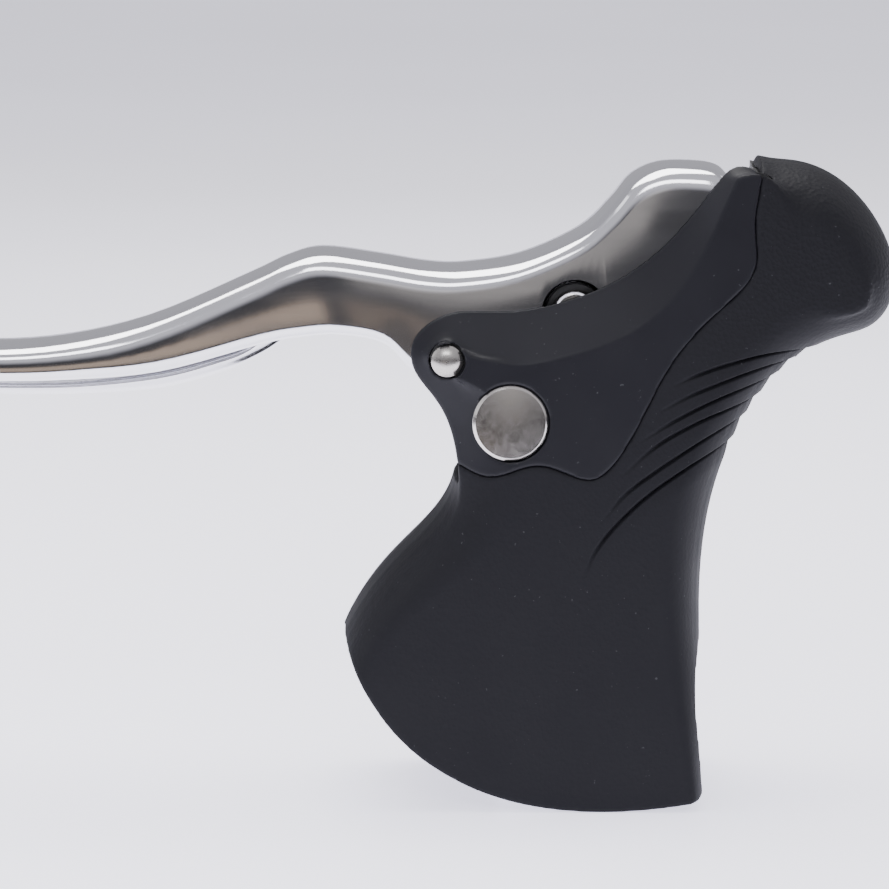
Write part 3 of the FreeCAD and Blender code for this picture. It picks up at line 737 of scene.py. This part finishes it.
def make_anchor():
    """The anchor barrel, dished at both ends, in its two bush rings."""
    for side, name in SIDES:
        ring = [(radius, side * y) for radius, y in BUSH_RING]
        dress(turned("anchor_ring_" + name, ANCHOR, ring), "bush_black", "brake_lever", "anchor_bushes")
    dish = BARREL_PROFILE[0][1]
    first = [(radius, -BARREL_END + inset) for radius, inset in BARREL_PROFILE]
    last = [(radius, BARREL_END - inset) for radius, inset in reversed(BARREL_PROFILE)]
    profile = [(0, -BARREL_END + dish)] + first + last + [(0, BARREL_END - dish)]
    barrel = turned("anchor_barrel_skin", ANCHOR, profile)
    dress(barrel, "barrel_steel", "cable_anchor", "cable_anchor_barrel")


def make_return_spring():
    """Torsion spring: close coils round the pivot pin."""
    steps = SPRING_TURNS * SPRING_STEPS_PER_TURN
    rings = []
    for i in range(steps + 1):
        angle = 2 * math.pi * SPRING_TURNS * i / steps
        y = -SPRING_REACH + 2 * SPRING_REACH * i / steps
        ring = []
        for k in range(SPRING_WIRE_STEPS):
            turn = 2 * math.pi * k / SPRING_WIRE_STEPS
            radius = SPRING_R + SPRING_WIRE_R * math.cos(turn)
            ring.append((PIVOT[0] + radius * math.cos(angle), y + SPRING_WIRE_R * math.sin(turn),
                         PIVOT[1] + radius * math.sin(angle)))
        rings.append(ring)
    spring = rings_to_object("return_spring_coil", rings)
    dress(spring, "spring_steel", "bracket", "brake_return_spring")


def dress_cad_nodes():
    """The CAD nodes that stay visible take the material of their slot."""
    slots = {part["node"]: part["material_slot"] for part in frame["record"]["subparts"]}
    for name, obj in NODES.items():
        material = MATERIALS[slots[name]]
        if not obj.material_slots:
            obj.data.materials.append(material)
        for holder in obj.material_slots:
            holder.material = material


# Stage

def make_floor():
    """The floor ends in front, short of what the blade's cheeks mirror, and glows with painted light
    that fades towards the back.
    """
    low = CAD_BOUNDS[0][2] / MM
    corners = [(-FLOOR_SIZE, FLOOR_FRONT, low), (FLOOR_SIZE, FLOOR_FRONT, low),
               (FLOOR_SIZE, FLOOR_SIZE, low), (-FLOOR_SIZE, FLOOR_SIZE, low)]
    floor = new_object("floor", corners, [(0, 1, 2, 3)])
    paint = Paint("floor_white", FLOOR_WHITE, roughness=0.34)
    paint.shader.inputs["Emission Color"].default_value = FLOOR_PAINTED_GLOW
    # Painted light: the floor glows, strongest near the front and fainter towards the back
    painted_glow = paint.along("Y", -0.05, 0.9, 1.6, 0.55)
    paint.links.new(painted_glow, paint.shader.inputs["Emission Strength"])
    paint.roughness(paint.ramp(paint.noise(3, 2), 0.3, 0.7, 0.3, 0.4))
    floor.data.materials.append(paint.material)


def add_area(name, location, target, size, power, colour):
    """A rectangular lamp that shines at its target and doesn't show itself."""
    light = bpy.data.lights.new(name, "AREA")
    light.shape = "RECTANGLE"
    light.size = size[0]
    light.size_y = size[1]
    light.energy = power
    light.color = colour
    obj = bpy.data.objects.new(name, light)
    obj.location = location
    obj.rotation_euler = (Vector(target) - Vector(location)).to_track_quat("-Z", "Y").to_euler()
    obj.visible_camera = False
    bpy.context.scene.collection.objects.link(obj)


def make_world():
    """White light all round; mirrors see a dim room in front below eye level."""
    world = bpy.data.worlds.new("studio")
    world.use_nodes = True
    nodes = world.node_tree.nodes
    links = world.node_tree.links
    coordinate = nodes.new("ShaderNodeTexCoord")
    split = nodes.new("ShaderNodeSeparateXYZ")
    links.new(coordinate.outputs["Generated"], split.inputs["Vector"])
    front = map_range(nodes, links, split.outputs["Z"], (-0.03, 0.25), ROOM_FRONT, "SMOOTHSTEP")
    behind = map_range(nodes, links, split.outputs["Y"], (-0.2, 0.3), (0.0, 1.0), "SMOOTHSTEP")
    strength = nodes.new("ShaderNodeMix")
    links.new(behind, strength.inputs["Factor"])
    links.new(front, strength.inputs["A"])
    strength.inputs["B"].default_value = ROOM_BEHIND
    room = nodes["Background"]
    room.inputs["Color"].default_value = ROOM_COLOUR
    links.new(strength.outputs["Result"], room.inputs["Strength"])
    white = nodes.new("ShaderNodeBackground")
    white.inputs["Color"].default_value = DAYLIGHT_COLOUR
    white.inputs["Strength"].default_value = DAYLIGHT
    rays = nodes.new("ShaderNodeLightPath")
    mix = nodes.new("ShaderNodeMixShader")
    links.new(rays.outputs["Is Glossy Ray"], mix.inputs["Fac"])
    links.new(white.outputs["Background"], mix.inputs[1])
    links.new(room.outputs["Background"], mix.inputs[2])
    links.new(mix.outputs["Shader"], nodes["World Output"].inputs["Surface"])
    bpy.context.scene.world = world


def make_camera():
    """A long lens that looks down at the outer side by ten degrees."""
    data = bpy.data.cameras.new("camera")
    data.lens = LENS
    data.clip_end = CLIP_END
    camera = bpy.data.objects.new("camera", data)
    away = Vector((0, -math.cos(CAMERA_ELEVATION), math.sin(CAMERA_ELEVATION)))
    camera.location = (LOOK_AT + away * CAMERA_DISTANCE) * MM
    camera.rotation_euler = (-away).to_track_quat("-Z", "Y").to_euler()
    bpy.context.scene.collection.objects.link(camera)
    bpy.context.scene.camera = camera


make_camera()
make_floor()
for light in LIGHTS:
    add_area(*light)
make_world()
dress_cad_nodes()
make_hood()
make_covers()
make_blade()
make_paddle()
make_pivot_pin()
make_caps()
make_anchor()
make_return_spring()
